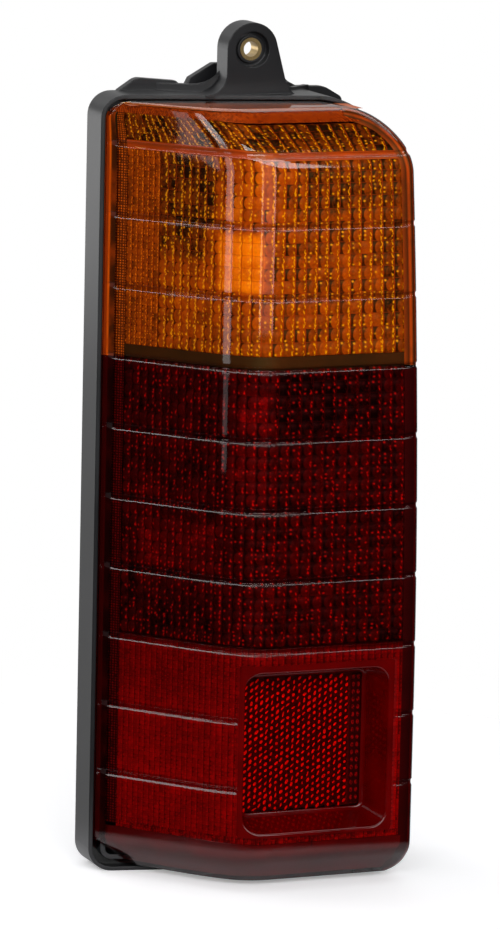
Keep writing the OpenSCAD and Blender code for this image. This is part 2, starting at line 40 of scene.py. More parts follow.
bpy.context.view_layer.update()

# Sizes in millimetres, measured from the lens's left edge, its front face and the table.
LENS_W, DEPTH = 122.5, 95.0
SIDE_W, SIDE_D = 46.0, 58.6
LENS_LO, LENS_HI = 2.0, 332.0
BEND_Z, SLOPE_D, FOOT = 313.0, 15.0, 13.0
SIDE_FOOT = 11.0
SEAM = math.tan(math.radians(12.0))
JOINT_Z = 224.0
GROOVES = [44.0 + 30.0 * i for i in range(10)]
GROOVE_W, GROOVE_D = 3.0, 1.05
REC = (47.0, 111.0, 26.0, 95.0)
REC_D, REC_DRAFT, REC_R = 20.0, 4.0, 7.0
PANEL_Y = 17.5
BOW_R, BOW_LO, BOW_HI = 4000.0, 72.0, 300.0     # the bowed right edge and the heights it runs between
TOP_R, LOW_R, LEFT_R = 28.0, 8.0, 8.0           # corner radii: upper right, lower right, both left
WALL_Y = SIDE_D + 1.5                           # where the lens wall ends at the left, behind the seam
LEVEL_Z = 100.0                                 # a height on the upright part, where length equals height
SHEET_IN = 2.7                                  # how far the pillows lie behind the outer face
SKIN_OUT = 1.2                                  # how far this lens passes the CAD lens at its right edge

side_len = math.hypot(SIDE_W, SIDE_D)
side_in = np.array([SIDE_D, SIDE_W]) / side_len
TURN = math.atan2(SIDE_D, SIDE_W)


def row(points):
    """Design millimetres to the row's metres."""
    p = np.asarray(points, float)
    return (p - [LENS_W / 2, DEPTH / 2, 0]) / 1000


def smooth(x):
    x = np.clip(x, 0, 1)
    return x * x * (3 - 2 * x)


def rounded_line(corners, radii, n=10):
    """An open line through corners, with an arc of its own radius at each inner one."""
    out = [np.array(corners[0], float)]
    for i in range(1, len(corners) - 1):
        a, b, c = (np.array(corners[k], float) for k in (i - 1, i, i + 1))
        u, w = (b - a) / np.linalg.norm(b - a), (c - b) / np.linalg.norm(c - b)
        turn = math.acos(np.clip(u @ w, -1, 1))
        t = radii[i] * math.tan(turn / 2)
        start, cross = b - u * t, u[0] * w[1] - u[1] * w[0]
        left = np.array([-u[1], u[0]]) * math.copysign(1, cross)
        for k in range(n + 1):
            q = turn * k / n
            out.append(start + radii[i] * (u * math.sin(q) + left * (1 - math.cos(q))))
    out.append(np.array(corners[-1], float))
    return np.array(out)


# Side view of the front face: depth and height along its length
PROFILE = rounded_line([(FOOT + 6, LENS_LO), (FOOT, LENS_LO), (0, LENS_LO + FOOT), (0, BEND_Z),
                        (SLOPE_D, LENS_HI), (SLOPE_D + 4, LENS_HI)], [0, 2, 8, 22, 2, 0])
_len = np.concatenate([[0], np.cumsum(np.linalg.norm(np.diff(PROFILE, axis=0), axis=1))])
_upright = np.interp(LEVEL_Z, PROFILE[12:36, 1], _len[12:36])
T_OF = _len - _upright + LEVEL_Z
T_LO, T_HI = T_OF[0] + 5, T_OF[-1] - 3


def profile(t):
    return np.interp(t, T_OF, PROFILE[:, 0]), np.interp(t, T_OF, PROFILE[:, 1])


def right_edge(z, corner=True, inset=0.0, out=1.0):
    """Where the right edge stands at height z: upright, gently bowed, then leaning, with rounded corners."""
    lean = math.asin((BOW_HI - BOW_LO) / BOW_R)
    rise = np.clip(z - BOW_LO, 0, BOW_HI - BOW_LO)
    x = np.where(z < BOW_LO, LENS_W, LENS_W - BOW_R + np.sqrt(BOW_R ** 2 - rise ** 2))
    x = x - np.clip(z - BOW_HI, 0, None) * math.tan(lean) - inset + SKIN_OUT * out
    if corner:
        full, low = TOP_R - SKIN_OUT * out, max(LOW_R - inset, 2)
        high = full - inset
        x = x - (high - np.sqrt(high ** 2 - np.clip(z - LENS_HI + full, 0, high - 0.01) ** 2))
        x = x - (low - np.sqrt(low ** 2 - np.clip(LENS_LO + inset + low - z, 0, low - 0.01) ** 2))
    return x


def left_edge(z):
    most = LEFT_R - 0.01
    k = np.clip(z - (LENS_HI - LEFT_R), 0, most) + np.clip(LENS_LO + LEFT_R - z, 0, most)
    return LEFT_R - np.sqrt(LEFT_R ** 2 - k ** 2)


def side_inset(t, z):
    """How far the side face leans in at its foot and rolls over at the top."""
    foot = SIDE_FOOT + LENS_LO
    low = np.where(z < foot + 4, np.clip(foot + 4 - z, 0, 8) ** 2 / 16 + np.clip(foot - 4 - z, 0, None), 0)
    return low + 1.2 * smooth((t - (T_HI - 3)) / 3) ** 2


# The corner as seen from above: a slow turn beside the side face, then the tight one
SLOW, SLOW_R, TIGHT_R = math.radians(8), 120.0, 25.0
_a = np.concatenate([np.linspace(0, SLOW, 8), np.linspace(SLOW, TURN, 28)[1:]])
_r = np.where(_a[1:] <= SLOW + 1e-9, SLOW_R, TIGHT_R)
_s = np.concatenate([[0], np.cumsum(np.diff(_a) * _r)])
_mid = (_a[1:] + _a[:-1]) / 2
_step = np.stack([np.cos(-TURN + _mid), np.sin(-TURN + _mid)], 1) * np.diff(_s)[:, None]
CORNER = np.concatenate([[[0, 0]], np.cumsum(_step, 0)])
CORNER_S = _s
EDGE_R = 3.0


def surface(u, t, wide=False):
    """A point of the lens's outer face.

    u runs 0-1 side face, 1-2 corner, 2-3 front, 3-4 right edge, 4-5 right wall.
    """
    f, z = profile(t)
    s = side_inset(t, z)
    xr = right_edge(z, not wide)
    xl = left_edge(z)
    start_y = f - CORNER[-1, 1]
    start_x = SIDE_W + (s - side_in[1] * start_y) / side_in[0]
    pl_y = (s - side_in[0] * (xl - SIDE_W)) / side_in[1]
    out_x = xl + (start_x - xl) * np.clip(u, 0, 1)
    out_y = pl_y + (start_y - pl_y) * np.clip(u, 0, 1)
    k = np.clip(u - 1, 0, 1) * CORNER_S[-1]
    out_x = out_x + np.interp(k, CORNER_S, CORNER[:, 0])
    out_y = out_y + np.interp(k, CORNER_S, CORNER[:, 1])
    front_x = start_x + CORNER[-1, 0]
    out_x = out_x + (xr - EDGE_R - front_x) * np.clip(u - 2, 0, 1)
    q = np.clip(u - 3, 0, 1) * math.pi / 2
    out_x = out_x + EDGE_R * np.sin(q)
    out_y = out_y + EDGE_R * (1 - np.cos(q))
    out_x = out_x + (right_edge(z, not wide, 0.0, 0.0) - xr) * np.clip(u - 4, 0, 1)
    wall = WALL_Y - xr * SEAM
    out_y = np.where(u > 4, f + EDGE_R + (wall - f - EDGE_R) * np.clip(u - 4, 0, 1), out_y)
    return np.stack([out_x, out_y, z * np.ones_like(out_x)], -1)


def grid_normals(p):
    du, dt = np.gradient(p, axis=1), np.gradient(p, axis=0)
    n = np.cross(du, dt)
    return n / np.maximum(np.linalg.norm(n, axis=-1, keepdims=True), 1e-9)


def mesh_object(name, verts, faces, material, smooth_faces=True):
    me = bpy.data.meshes.new(name)
    me.from_pydata([tuple(v) for v in row(verts)], [], [tuple(int(i) for i in f) for f in faces])
    me.validate()
    me.materials.append(material)
    me.polygons.foreach_set("use_smooth", [smooth_faces] * len(me.polygons))
    ob = bpy.data.objects.new(name, me)
    scene.collection.objects.link(ob)
    return ob


def quads(rows, cols, keep=None, base=0):
    i, j = np.meshgrid(np.arange(rows - 1), np.arange(cols - 1), indexing="ij")
    a = i * cols + j
    q = np.stack([a, a + 1, a + cols + 1, a + cols], -1)
    if keep is not None:
        q = q[keep]
    return q.reshape(-1, 4) + base


# Shader helpers

def new_material(name):
    m = bpy.data.materials.new(name)
    m.use_nodes = True
    nt = m.node_tree
    return m, nt, nt.nodes["Principled BSDF"], nt.nodes["Material Output"]


def node(nt, kind, **values):
    n = nt.nodes.new(kind)
    for k, v in values.items():
        if hasattr(n, k):
            setattr(n, k, v)
        else:
            n.inputs[k].default_value = v
    return n


def noise(nt, scale, detail=3.0):
    co = node(nt, "ShaderNodeTexCoord")
    n = node(nt, "ShaderNodeTexNoise")
    n.inputs["Scale"].default_value = scale
    n.inputs["Detail"].default_value = detail
    nt.links.new(co.outputs["Object"], n.inputs["Vector"])
    return n


def ramp(nt, source, stops):
    r = node(nt, "ShaderNodeValToRGB")
    while len(r.color_ramp.elements) < len(stops):
        r.color_ramp.elements.new(0.5)
    for e, (pos, col) in zip(r.color_ramp.elements, stops):
        e.position = pos
        e.color = (*col, 1) if len(col) == 3 else col
    nt.links.new(source, r.inputs["Fac"])
    return r


def plain(name, colour, rough=0.5, metal=0.0, grain=300.0, vary=0.12, bump=0.05):
    """A surface with a slightly uneven colour, gloss and grain."""
    m, nt, bs, _ = new_material(name)
    n = noise(nt, grain)
    c = np.array(colour)
    low, high = tuple(c * (1 - vary)), tuple(np.minimum(c * (1 + vary), 1))
    r = ramp(nt, n.outputs["Fac"], [(0.3, low), (0.7, high)])
    nt.links.new(r.outputs["Color"], bs.inputs["Base Color"])
    bs.inputs["Metallic"].default_value = metal
    big = noise(nt, 25.0)
    rr = node(nt, "ShaderNodeMapRange")
    rr.inputs["To Min"].default_value = rough * 0.85
    rr.inputs["To Max"].default_value = rough * 1.15
    nt.links.new(big.outputs["Fac"], rr.inputs["Value"])
    nt.links.new(rr.outputs["Result"], bs.inputs["Roughness"])
    b = node(nt, "ShaderNodeBump")
    b.inputs["Strength"].default_value = bump
    b.inputs["Distance"].default_value = 0.0002
    nt.links.new(n.outputs["Fac"], b.inputs["Height"])
    nt.links.new(b.outputs["Normal"], bs.inputs["Normal"])
    return m


def black_plastic():
    m, nt, bs, _ = new_material("black_plastic")
    n = noise(nt, 900.0, 2.0)
    big = noise(nt, 18.0, 4.0)
    r = ramp(nt, big.outputs["Fac"], [(0.35, (0.008, 0.008, 0.009)), (0.7, (0.014, 0.014, 0.016))])
    nt.links.new(r.outputs["Color"], bs.inputs["Base Color"])
    rr = node(nt, "ShaderNodeMapRange")
    rr.inputs["To Min"].default_value = 0.26
    rr.inputs["To Max"].default_value = 0.36
    nt.links.new(big.outputs["Fac"], rr.inputs["Value"])
    nt.links.new(rr.outputs["Result"], bs.inputs["Roughness"])
    bev = node(nt, "ShaderNodeBevel")
    bev.samples = 4
    bev.inputs["Radius"].default_value = 0.0007
    b = node(nt, "ShaderNodeBump")
    b.inputs["Strength"].default_value = 0.12
    b.inputs["Distance"].default_value = 0.0001
    nt.links.new(n.outputs["Fac"], b.inputs["Height"])
    nt.links.new(bev.outputs["Normal"], b.inputs["Normal"])
    nt.links.new(b.outputs["Normal"], bs.inputs["Normal"])
    return m


def clear_skin(name, tint, rough=0.03):
    """The polished outer face: clear and tinted straight on, and glossy by Fresnel."""
    m, nt, bs, out = new_material(name)
    nt.nodes.remove(bs)
    see = node(nt, "ShaderNodeBsdfTransparent")
    see.inputs["Color"].default_value = (*tint, 1)
    gl = node(nt, "ShaderNodeBsdfGlossy")
    gl.inputs["Roughness"].default_value = rough
    gl.inputs["Color"].default_value = (1, 1, 1, 1)
    fr = node(nt, "ShaderNodeFresnel")
    fr.inputs["IOR"].default_value = 1.5
    n = noise(nt, 60.0, 2.0)
    b = node(nt, "ShaderNodeBump")
    b.inputs["Strength"].default_value = 0.02
    b.inputs["Distance"].default_value = 0.0003
    nt.links.new(n.outputs["Fac"], b.inputs["Height"])
    nt.links.new(b.outputs["Normal"], gl.inputs["Normal"])
    mix = node(nt, "ShaderNodeMixShader")
    nt.links.new(fr.outputs["Fac"], mix.inputs["Fac"])
    nt.links.new(see.outputs["BSDF"], mix.inputs[1])
    nt.links.new(gl.outputs["BSDF"], mix.inputs[2])
    nt.links.new(mix.outputs["Shader"], out.inputs["Surface"])
    return m


class Graph:
    """Chains of maths nodes in one material."""

    def __init__(self, nt):
        self.nt = nt

    def attr(self, name):
        n = self.nt.nodes.new("ShaderNodeAttribute")
        n.attribute_name = name
        return n.outputs["Fac"]

    def put(self, socket, value):
        if isinstance(value, (int, float)):
            socket.default_value = value
        elif isinstance(value, tuple):
            socket.default_value = (*value, 1) if len(value) == 3 else value
        else:
            self.nt.links.new(value, socket)

    def math(self, op, a, b=None, clamp=False):
        n = self.nt.nodes.new("ShaderNodeMath")
        n.operation = op
        n.use_clamp = clamp
        for k, v in enumerate((a, b)):
            if v is not None:
                self.put(n.inputs[k], v)
        return n.outputs[0]

    def add(self, a, b):
        return self.math("ADD", a, b)

    def sub(self, a, b):
        return self.math("SUBTRACT", a, b)

    def mul(self, a, b):
        return self.math("MULTIPLY", a, b)

    def step(self, x, lo, hi):
        n = self.nt.nodes.new("ShaderNodeMapRange")
        n.interpolation_type = "SMOOTHSTEP"
        self.put(n.inputs["Value"], x)
        n.inputs["From Min"].default_value = lo
        n.inputs["From Max"].default_value = hi
        return n.outputs["Result"]

    def bump_of(self, x, width):
        """A soft peak where x is nought."""
        q = self.mul(self.mul(x, x), -1.0 / width ** 2)
        return self.math("EXPONENT", q)

    def mix(self, fac, a, b):
        n = self.nt.nodes.new("ShaderNodeMix")
        n.data_type = "RGBA"
        self.put(n.inputs["Factor"], fac)
        self.put(n.inputs["A"], a)
        self.put(n.inputs["B"], b)
        return n.outputs["Result"]

    def random(self, a, b, seed):
        v = self.nt.nodes.new("ShaderNodeCombineXYZ")
        self.put(v.inputs[0], a)
        self.put(v.inputs[1], b)
        v.inputs[2].default_value = seed
        n = self.nt.nodes.new("ShaderNodeTexWhiteNoise")
        self.nt.links.new(v.outputs[0], n.inputs["Vector"])
        return n.outputs["Value"]


def cell_optics(name, dark, mid, bright, line, spark, rough=0.45, busy=1.0, thread=1.0):
    """Moulded pillows: each cell has its own tone, thin borders, a dark crescent of painted shade and small
    painted glints, over painted light and shade read from the painted_light attribute.
    """
    m, nt, bs, _ = new_material(name)
    g = Graph(nt)
    u, v, painted_light, lean = (g.attr(k) for k in ("cell_u", "cell_v", "painted_light", "lean"))
    a, b = g.math("FRACT", u), g.math("FRACT", v)
    iu, iv = g.math("FLOOR", u), g.math("FLOOR", v)
    r1, r2, r3 = (g.random(iu, iv, k) for k in (0.0, 3.0, 7.0))
    soft = noise(nt, 130.0, 3.0).outputs["Fac"]
    fine = noise(nt, 900.0, 2.0).outputs["Fac"]
    body = g.add(painted_light, g.mul(g.sub(r1, 0.5), 0.36))
    body = g.add(body, g.mul(g.sub(soft, 0.5), 1.2))
    body = g.add(body, g.mul(g.sub(fine, 0.5), 0.8))
    col = g.mix(g.math("MULTIPLY", body, 1.0, clamp=True), dark, mid)
    col = g.mix(g.math("SUBTRACT", body, 1.0, clamp=True), col, bright)
    # painted shade: dark round the pillow's left side, left out where the painted light is strong
    da = g.math("DIVIDE", g.sub(g.sub(a, 0.56), g.mul(lean, 0.06)), 0.46)
    db = g.math("DIVIDE", g.sub(b, 0.46), 0.56)
    e = g.math("SQRT", g.add(g.mul(da, da), g.mul(db, db)))
    rim = g.mul(g.step(e, 0.78, 1.0), g.step(g.sub(0.75, a), 0.0, 0.4))
    rim = g.mul(rim, g.step(g.sub(1.9, g.add(painted_light, r2)), 0.0, 0.8))
    col = g.mix(g.mul(rim, 0.9), col, dark)
    ca = g.math("ABSOLUTE", g.sub(a, 0.5))
    cb = g.math("ABSOLUTE", g.sub(b, 0.5))
    col = g.mix(g.mul(g.step(ca, 0.43, 0.475), 0.75), col, line)
    col = g.mix(g.mul(g.step(cb, 0.46, 0.49), 0.5), col, line)
    # painted glints: a short slanted stroke, a dot, a wavy thread beside the border, and scattered points
    across = g.add(g.sub(a, 0.80), g.mul(g.mul(lean, 0.45), g.sub(b, 0.24)))
    stroke = g.mul(g.bump_of(across, 0.06), g.bump_of(g.sub(b, 0.24), 0.12))
    stroke = g.mul(stroke, g.step(r3, 0.25, 0.5))
    dot = g.mul(g.bump_of(g.sub(a, 0.86), 0.06), g.bump_of(g.sub(b, 0.72), 0.07))
    dot = g.mul(dot, g.step(r2, 0.35, 0.7))
    wave = g.mul(g.math("SINE", g.mul(g.add(g.mul(b, 1.6), r1), 6.283)), 0.06)
    strand = g.bump_of(g.sub(g.sub(a, 0.86), wave), 0.045)
    strand = g.mul(g.mul(strand, g.step(fine, 0.44, 0.60)), thread)
    fu, fv = g.mul(u, 2.0), g.mul(v, 3.0)
    pick = g.random(g.math("FLOOR", fu), g.math("FLOOR", fv), 11.0)
    point = g.mul(g.bump_of(g.sub(g.math("FRACT", fu), g.add(0.3, g.mul(r3, 0.4))), 0.17),
                  g.bump_of(g.sub(g.math("FRACT", fv), g.add(0.35, g.mul(r2, 0.3))), 0.22))
    point = g.mul(point, g.step(pick, 0.7, 0.92))
    lit = g.math("MULTIPLY", g.add(g.add(stroke, dot), g.add(strand, point)), busy, clamp=True)
    col = g.mix(lit, col, spark)
    nt.links.new(col, bs.inputs["Base Color"])
    bs.inputs["Roughness"].default_value = rough
    bs.inputs["Specular IOR Level"].default_value = 0.15
    return m


def striped(name, stops, dotted=False, spark=(1, 0.3, 0.02)):
    """Long ribs beside the pillows: tone by distance across, broken up along them, with dots if asked."""
    m, nt, bs, _ = new_material(name)
    g = Graph(nt)
    u, v = g.attr("cell_u"), g.attr("cell_v")
    r = ramp(nt, u, stops)
    soft = noise(nt, 90.0, 3.0).outputs["Fac"]
    fine = noise(nt, 1200.0, 2.0).outputs["Fac"]
    col = g.mix(g.mul(g.step(soft, 0.45, 0.75), 0.6), r.outputs["Color"], stops[0][1])
    if dotted:
        a, b = g.math("FRACT", g.attr("dots")), g.math("FRACT", v)
        d = g.add(g.math("POWER", g.sub(a, 0.5), 2.0), g.math("POWER", g.sub(b, 0.5), 2.0))
        lit = g.mul(g.step(g.sub(0.12, d), 0.0, 0.06), g.step(fine, 0.3, 0.65))
        col = g.mix(lit, col, spark)
    nt.links.new(col, bs.inputs["Base Color"])
    bs.inputs["Roughness"].default_value = 0.45
    bs.inputs["Specular IOR Level"].default_value = 0.25
    return m


def srgb(r, g, b, gain=1.0):
    return tuple(min((c / 255) ** 2.2 * gain, 1.0) for c in (r, g, b))


black = black_plastic()
amber_skin = clear_skin("amber_skin", (1.0, 0.9, 0.5))
red_skin = clear_skin("red_skin", (1.0, 0.35, 0.35))
amber_optics = cell_optics("amber_optics", srgb(40, 16, 0), srgb(184, 82, 2), srgb(250, 142, 6),
                           srgb(168, 58, 0), srgb(255, 160, 16, 1.25), 0.45, 1.25)
amber_fine = cell_optics("amber_fine", srgb(60, 24, 0), srgb(176, 78, 2), srgb(255, 150, 10),
                         srgb(170, 54, 0), srgb(255, 138, 10), 0.45, 1.2, 0.7)
red_optics = cell_optics("red_optics", srgb(20, 0, 0), srgb(88, 0, 3), srgb(205, 12, 8),
                         srgb(58, 0, 2), srgb(250, 40, 18), 0.45, 0.56, 0.12)
red_fine = cell_optics("red_fine", srgb(66, 0, 2), srgb(130, 0, 5), srgb(185, 10, 8),
                       srgb(86, 0, 3), srgb(215, 30, 18), 0.45, 0.55, 0.3)
amber_frame = striped("amber_frame", [(0.0, srgb(185, 72, 0)), (0.3, srgb(150, 54, 0)),
                                      (0.45, srgb(245, 112, 5)), (0.58, srgb(84, 32, 0)), (0.95, srgb(66, 24, 0))])
red_frame = striped("red_frame", [(0.0, srgb(70, 0, 10)), (0.3, srgb(56, 0, 6)), (0.45, srgb(70, 0, 6)),
                                  (0.55, srgb(34, 0, 2)), (0.95, srgb(30, 0, 2))])
amber_dots = striped("amber_dots", [(0.0, srgb(96, 34, 0)), (1.0, srgb(110, 42, 0))], True, srgb(255, 122, 4))
red_dots = striped("red_dots", [(0.0, srgb(40, 0, 2)), (1.0, srgb(40, 0, 2))], True, srgb(140, 2, 4))
# painted glints: bright dots on a dark base, for the run of glints at the reflex step
glint_dots = striped("red_glint_dots", [(0.0, srgb(52, 0, 3)), (1.0, srgb(40, 0, 2))], True,
                     srgb(160, 16, 24))
# painted highlights: the bright bands in amber_rim and red_rim stand for light along the lens's right edge
amber_rim = striped("amber_rim", [(0.0, srgb(70, 28, 2)), (0.3, srgb(96, 38, 2)), (0.42, srgb(235, 88, 3)),
                                  (0.5, srgb(120, 44, 0)), (0.6, srgb(60, 22, 0)), (0.72, srgb(205, 78, 0)),
                                  (0.82, srgb(84, 30, 0)), (1.0, srgb(160, 62, 0))])
red_rim = striped("red_rim", [(0.0, srgb(40, 4, 6)), (0.35, srgb(58, 0, 4)), (0.5, srgb(104, 0, 6)),
                              (0.62, srgb(40, 0, 2)), (1.0, srgb(60, 0, 2))])
flute_amber = striped("flute_amber", [(0.0, srgb(112, 34, 0)), (1.0, srgb(112, 34, 0))], True,
                      srgb(205, 84, 2))
amber_plain = plain("amber_plain", srgb(196, 76, 1), 0.4, 0.0, 80.0, 0.25)
# painted light: amber_cap is paler than the lens's amber to make up for the shade under the lens's top
amber_cap = plain("amber_cap", srgb(190, 96, 50), 0.5, 0.0, 60.0, 0.2)
amber_brown = plain("amber_brown", srgb(64, 26, 0), 0.4, 0.0, 80.0, 0.3)
red_plain = plain("red_plain", srgb(84, 0, 5), 0.4, 0.0, 80.0, 0.3)
red_wall = plain("red_wall", srgb(82, 0, 3), 0.1, 0.0, 60.0, 0.3, 0.02)
# painted glints: prism_red is the colour of the bright slanted marks on the prisms
prism_red = plain("prism_red", srgb(255, 30, 6, 1.2), 0.3, 0.0, 900.0, 0.5)
prism_dark = plain("prism_dark", srgb(62, 0, 2), 0.3, 0.0, 500.0, 0.5)
for m in (prism_red, prism_dark):
    m.node_tree.nodes["Principled BSDF"].inputs["Specular IOR Level"].default_value = 0.0
brass = plain("brass", (0.70, 0.50, 0.22), 0.28, 1.0, 1500.0)
steel = plain("steel", (0.62, 0.62, 0.60), 0.35, 1.0, 1200.0)
silvered = plain("silvered", (0.86, 0.86, 0.86), 0.12, 1.0, 200.0, 0.03)
rubber = plain("rubber", (0.02, 0.02, 0.02), 0.7, 0.0, 900.0)
foam = plain("foam", (0.035, 0.035, 0.037), 0.95, 0.0, 2500.0, 0.3, 0.5)
grey_plastic = plain("grey_plastic", (0.045, 0.046, 0.05), 0.5, 0.0, 800.0)
contact = plain("contact_brass", (0.72, 0.55, 0.30), 0.35, 1.0, 1500.0)
glass_bulb = plain("bulb_glass", (0.85, 0.85, 0.82), 0.08, 0.0, 100.0, 0.02)
glass_amber = plain("bulb_amber", (0.85, 0.40, 0.05), 0.08, 0.0, 100.0, 0.02)

FINISH = {
    "housing": black, "lug_bush": brass, "amber_lens": amber_plain, "red_lens": red_plain,
    "reflex_panel": prism_red, "lens_seal": rubber, "turn_reflector": silvered,
    "stop_reflector": silvered, "tail_reflector": silvered, "reflector_screws": steel,
    "turn_bulb": glass_amber, "stop_bulb": glass_bulb, "tail_bulb": glass_bulb,
    "turn_holder": steel, "stop_holder": steel, "tail_holder": steel,
    "bulb_carrier": grey_plastic, "carrier_seal": rubber, "carrier_screws": steel,
    "earth_strip": contact, "turn_strip": contact, "stop_strip": contact, "tail_strip": contact,
    "body_gasket": foam, "peg_grommets": rubber, "locating_pegs": steel, "vent_cap": rubber}
for name, ob in nodes.items():
    ob.data.materials.clear()
    ob.data.materials.append(FINISH[name])


# The lens skin

def merged_samples(*parts):
    s = np.unique(np.round(np.concatenate(parts), 4))
    return s[np.concatenate([[True], np.diff(s) > 0.02])]


GROOVE_Z = np.array([-1.1, -1.0, -0.9, -0.4, -0.3, -0.2, 0.35, 0.47, 0.6, 0.85, 0.97, 1.05]) * GROOVE_W / 2
GROOVE_SHAPE = np.array([0, 0.02, 0.13, 0.88, 0.98, 1, 1, 0.96, 0.8, 0.3, 0.06, 0]) * GROOVE_D


def groove_depth(z):
    """Depth cut at height z: a sloped lower wall, a flat floor and a steeper upper wall."""
    out = np.zeros_like(z)
    for g in GROOVES:
        out = np.maximum(out, np.interp(z - g, GROOVE_Z, GROOVE_SHAPE, 0, 0))
    return out


def u_of_front_x(x, t):
    """The u of a place x on the front face at height t."""
    lo, hi = 0.0, 4.0
    for _ in range(40):
        mid = (lo + hi) / 2
        if surface(np.array([mid]), np.array([t]))[0, 0] < x:
            lo = mid
        else:
            hi = mid
    return lo


GROOVE_U = 3.3 / (side_len - 12)


def groove_mask(u, z, x):
    m = smooth((u - GROOVE_U) / 0.012 + 0.5)
    near = ((z > REC[2] - 6) & (z < REC[3] + 6))
    land, soft = 2.8, 1.6
    inside = smooth((x - (REC[0] - land)) / soft) * smooth(((REC[1] + land) - x) / soft)
    m = m * np.where(near, 1 - inside, 1)
    return m * np.where(u > 3.001, 0.45 * (1 - smooth((u - 3.6) / 1.2)), 1)


HOLE = (REC[0] - 2.4, REC[1] + 2.4, REC[2] - 2.0, REC[3] + 3.4)
u_hole = (u_of_front_x(HOLE[0], 60.0), u_of_front_x(HOLE[1], 60.0))

us = merged_samples(np.linspace(0, 1, 22), np.linspace(0.03, 0.07, 8), np.linspace(1, 2, 26),
                    np.linspace(2, 3, 26), np.linspace(3, 4, 8), np.linspace(4, 5, 5), np.array(u_hole),
                    *[np.linspace(h - 0.06, h + 0.06, 7) for h in u_hole])
near_hole = np.array([min(abs(u - h) for h in u_hole) for u in us])
us = us[(near_hole < 1e-6) | (near_hole > 0.004)]
gz = np.concatenate([[-2.2], GROOVE_Z, [-0.95, 0.0, 2.2]])
ts = merged_samples(np.linspace(T_LO, 22, 16), np.linspace(22, 300, 60), np.linspace(298, 320, 24),
                    np.linspace(320, T_HI, 14), *[g + gz for g in GROOVES],
                    np.array([HOLE[2], HOLE[3], JOINT_Z]))


def rounded_left(p, n, r=1.1):
    """The left edge turned back in an arc, with a short wall behind it.

    Gives the points and how many columns it adds.
    """
    along = p[:, 1] - p[:, 0]
    along = along / np.linalg.norm(along, axis=-1, keepdims=True)
    out, mid = n[:, 0], p[:, 0] + along * r - n[:, 0] * r
    turn = [mid + r * (out * math.cos(a) - along * math.sin(a)) for a in (1.57, 1.25, 0.9, 0.6, 0.3)]
    p = p.copy()
    p[:, 0] = mid + r * out
    return np.concatenate([np.stack([turn[0] - out * 3.0] + turn, 1), p], 1), 6


def skin(name, lo, hi, material, hole=False):
    t = ts[(ts >= lo - 1e-6) & (ts <= hi + 1e-6)]
    U, T = np.meshgrid(us, t)
    p = surface(U, T)
    n = grid_normals(p)
    g = groove_depth(p[..., 2]) * groove_mask(U, p[..., 2], p[..., 0])
    p = p - n * g[..., None]
    last = int(np.argmin(np.abs(us - 3)))
    p[:, last + 1:, 1] = np.maximum(p[:, last + 1:, 1], p[:, last:last + 1, 1] - 0.3)
    p, cols = rounded_left(p, n)
    uc = np.concatenate([np.full(cols, -1.0), us])
    keep = np.ones((len(t) - 1, len(uc) - 1), bool)
    if hole:
        mu, mt = (uc[1:] + uc[:-1]) / 2, (t[1:] + t[:-1]) / 2
        keep = ~((mt[:, None] > HOLE[2]) & (mt[:, None] < HOLE[3])
                 & (mu > u_hole[0]) & (mu < u_hole[1]))
    verts = [p.reshape(-1, 3)]
    faces = [quads(len(t), len(uc), keep)]
    base = len(verts[0])
    for end, flip in ((0, True), (len(t) - 1, False)):
        if (end == 0 and lo > T_LO + 1) or (end > 0 and hi < T_HI - 1):
            continue
        edge = p[end]
        back = edge.copy()
        back[:, 1] = WALL_Y - back[:, 0] * SEAM
        back[:, 1] = np.maximum(back[:, 1], edge[:, 1])
        strip = np.stack([edge, back])
        verts.append(strip.reshape(-1, 3))
        q = quads(2, len(uc), None, base)
        faces.append(q[:, ::-1] if flip else q)
        base += 2 * len(uc)
    return mesh_object(name, np.concatenate(verts), np.concatenate(faces), material)


amber = skin("amber_lens_skin", JOINT_Z, T_HI, amber_skin)
red = skin("red_lens_skin", T_LO, JOINT_Z, red_skin, hole=True)


# The pillow optics behind the skin

def cells(edges, n):
    """Sample positions with n steps in each cell, how far each is from its cell's middle, and its cell."""
    pos, off, idx, run = [], [], [], []
    for k in range(len(edges) - 1):
        q = np.linspace(0, 1, n + 1)
        if k < len(edges) - 2:
            q = q[:-1]
        pos += list(edges[k] + (edges[k + 1] - edges[k]) * q)
        off += list(2 * q - 1)
        idx += [k] * len(q)
        run += list(k + np.clip(q, 0.002, 0.998) if k == len(edges) - 2 else k + q)
    return np.array(pos), np.array(off), np.array(idx), np.array(run)


ARC = CORNER_S[-1]
FLAT = side_len - 0.4867 * TIGHT_R - 8
FRONT_X = SIDE_W + side_in[1] * CORNER[-1, 1] / side_in[0] + CORNER[-1, 0]
FRONT = right_edge(150.0, False) - EDGE_R - FRONT_X
TOTAL = FLAT + ARC + FRONT + 4
RIM = 5.4


def u_at(s):
    """u for a distance along the face from the left edge."""
    s = np.asarray(s, float)
    u = np.clip(s / FLAT, 0, 1)
    u = u + np.clip((s - FLAT) / ARC, 0, 1)
    u = u + np.clip((s - FLAT - ARC) / FRONT, 0, 1)
    return u + np.clip((s - FLAT - ARC - FRONT) / (EDGE_R * math.pi / 2), 0, 1)


def patch(s, t, s0, s1, t0, t1, soft=3.0):
    return (smooth((s - s0) / soft + 0.5) * smooth((s1 - s) / soft + 0.5)
            * smooth((t - t0) / soft + 0.5) * smooth((t1 - t) / soft + 0.5))


# Painted light and shade for the pillow sheets: a level with bright pools and dark patches where the lamp's inside
# shows lit or dark.
def amber_painted_light(s, t):
    g = 0.78 + 0 * s
    g = g + 1.0 * patch(s, t, 59, 81, 256, 280, 4) + 0.3 * patch(s, t, 62, 84, 284, 312, 5)
    g = g - 0.62 * patch(s, t, 28.5, 57, 284, 312, 2) - 0.5 * patch(s, t, 28.5, 52, 268, 283, 4)
    g = g - 0.55 * patch(s, t, 0, 160, 315, 330, 2) - 0.38 * patch(s, t, 100, 136, 290, 311, 8)
    return g - 0.3 * patch(s, t, 137, 160, 220, 312, 3) - 0.15 * patch(s, t, 10, 28, 220, 316, 3)


